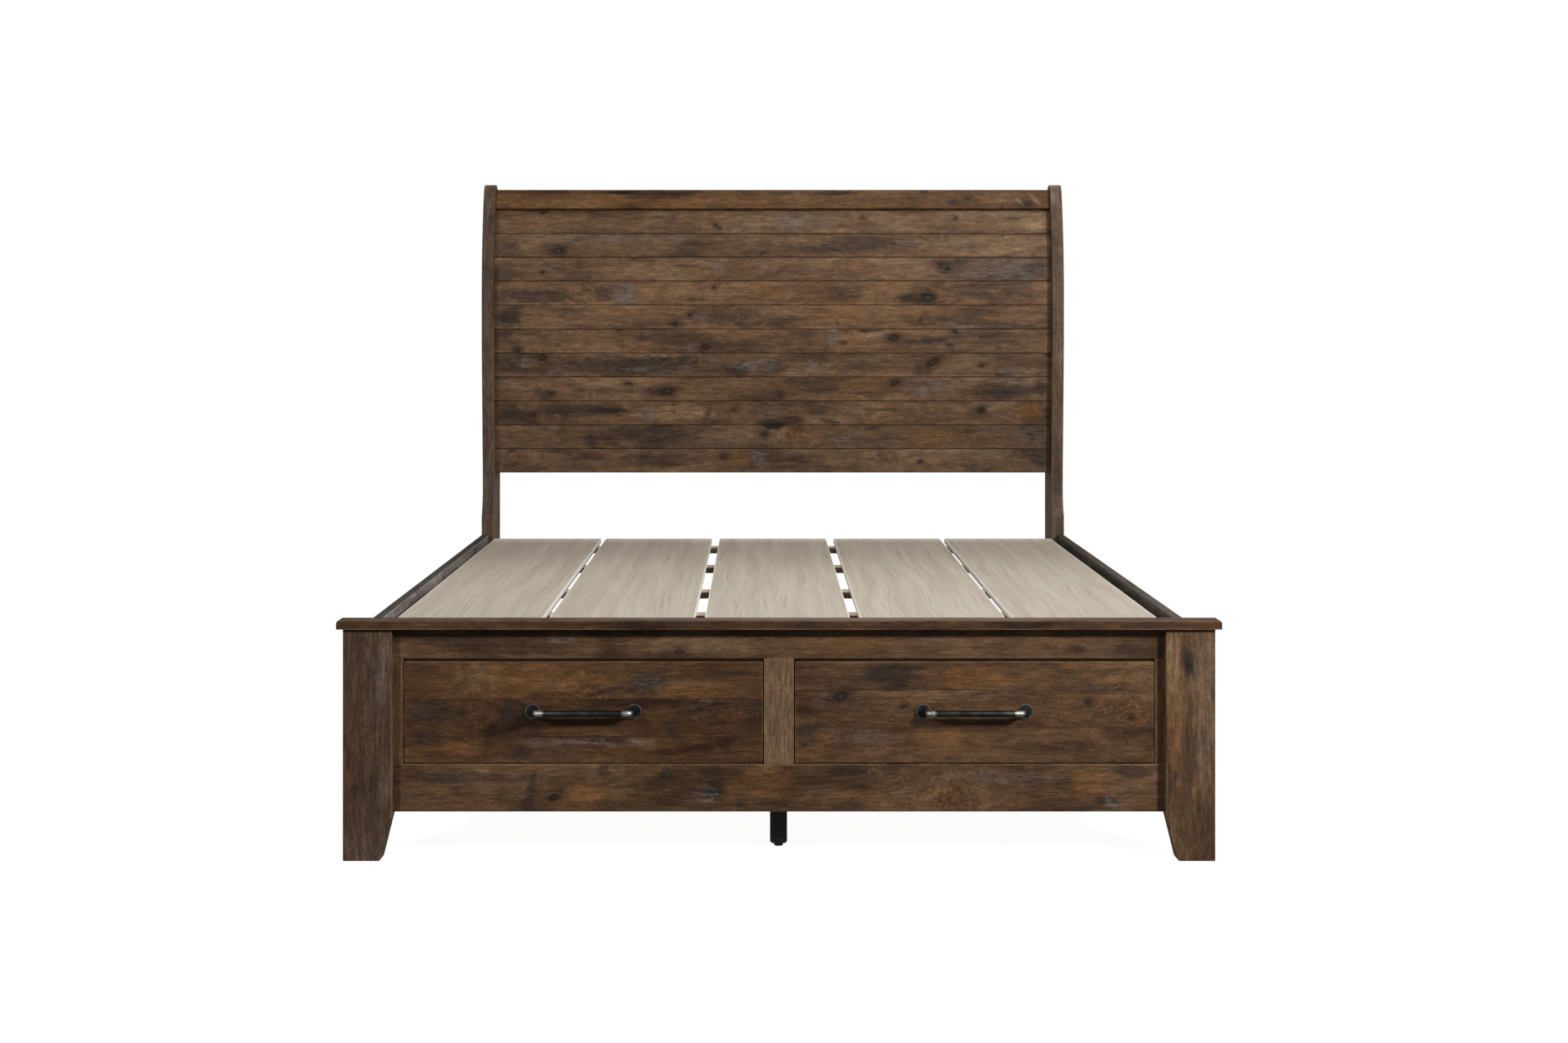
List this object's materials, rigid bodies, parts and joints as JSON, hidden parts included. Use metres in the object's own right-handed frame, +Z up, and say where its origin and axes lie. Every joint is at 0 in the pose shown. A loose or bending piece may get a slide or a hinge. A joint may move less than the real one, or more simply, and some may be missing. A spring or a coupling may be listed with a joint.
{
  "type": "storage bed frame",
  "caption": "Platform bed frame in rustic stained boards: curved plank headboard, side rails, panelled deck on slats, and a footboard whose front holds pull-out storage drawers.",
  "frame": {"origin": "centre of the whole bed in plan, at the floor", "axes": "+X to the right seen from the foot end, +Y from foot to head, +Z up"},
  "size_m": [1.662, 2.3436, 1.4043],
  "materials": {
    "stained_wood": "satin, dark brown stain, knots",
    "stained_wood_grey": "satin, grey-brown stain, upright grain",
    "stained_wood_light": "satin, lighter grey-brown stain",
    "plain_wood": "matt, sawn",
    "panel_laminate": "matt, pale taupe wood grain",
    "handle_metal": "dark pewter, worn bright at the bends",
    "steel": "zinc plated",
    "black_metal": "satin black",
    "black_plastic": "matt black"
  },
  "bodies": {
    "bed": {"headboard_post_left": "stained_wood_grey", "headboard_post_right": "stained_wood_grey", "headboard_top_rail": "stained_wood", "headboard_plank_01": "stained_wood", "headboard_plank_02": "stained_wood", "headboard_plank_03": "stained_wood", "headboard_plank_04": "stained_wood", "headboard_plank_05": "stained_wood", "headboard_plank_06": "stained_wood", "headboard_plank_07": "stained_wood", "headboard_plank_08": "stained_wood", "headboard_plank_09": "stained_wood", "headboard_plank_10": "stained_wood", "headboard_plank_11": "stained_wood", "headboard_ribs": "plain_wood", "headboard_stretcher": "stained_wood", "side_rail_left": "stained_wood", "side_rail_right": "stained_wood", "cleats": "plain_wood", "hook_plates": "steel", "hook_plate_screws": "steel", "slat_1": "plain_wood", "slat_2": "plain_wood", "slat_3": "plain_wood", "slat_4": "plain_wood", "slat_5": "plain_wood", "platform_panel_1": "panel_laminate", "platform_panel_2": "panel_laminate", "platform_panel_3": "panel_laminate", "platform_panel_4": "panel_laminate", "platform_panel_5": "panel_laminate", "footboard_post_left": "stained_wood_grey", "footboard_post_right": "stained_wood_grey", "footboard_cap": "stained_wood", "footboard_top_rail": "stained_wood", "footboard_bottom_rail": "stained_wood", "footboard_stile_left": "stained_wood", "footboard_stile_centre": "stained_wood_light", "footboard_stile_right": "stained_wood", "case_sides": "plain_wood", "case_dividers": "plain_wood", "case_back": "plain_wood", "case_bottom": "plain_wood", "case_leg": "black_metal", "slat_legs": "black_metal", "leg_glides": "black_plastic", "slide_outer_members": "steel"},
    "drawer_left": {"drawer_left_front": "stained_wood", "drawer_left_box": "plain_wood", "drawer_left_bottom": "plain_wood", "drawer_left_handle": "handle_metal", "slide_inner_left": "steel"},
    "drawer_right": {"drawer_right_front": "stained_wood", "drawer_right_box": "plain_wood", "drawer_right_bottom": "plain_wood", "drawer_right_handle": "handle_metal", "slide_inner_right": "steel"},
    "slide_left": {"slide_middle_left": "steel"},
    "slide_right": {"slide_middle_right": "steel"}
  },
  "joints": [
    {"name": "drawer_left_slide", "type": "slide", "parent": "bed", "child": "drawer_left", "axis": [0, -1, 0], "range_m": [0, 0.35]},
    {"name": "slide_left_run", "type": "slide", "parent": "bed", "child": "slide_left", "axis": [0, -1, 0], "range_m": [0, 0.175]},
    {"name": "drawer_right_slide", "type": "slide", "parent": "bed", "child": "drawer_right", "axis": [0, -1, 0], "range_m": [0, 0.35]},
    {"name": "slide_right_run", "type": "slide", "parent": "bed", "child": "slide_right", "axis": [0, -1, 0], "range_m": [0, 0.175]}
  ],
  "couplings": [
    {"joint": "slide_left_run", "follows": "drawer_left_slide", "ratio": 0.5},
    {"joint": "slide_right_run", "follows": "drawer_right_slide", "ratio": 0.5}
  ]
}
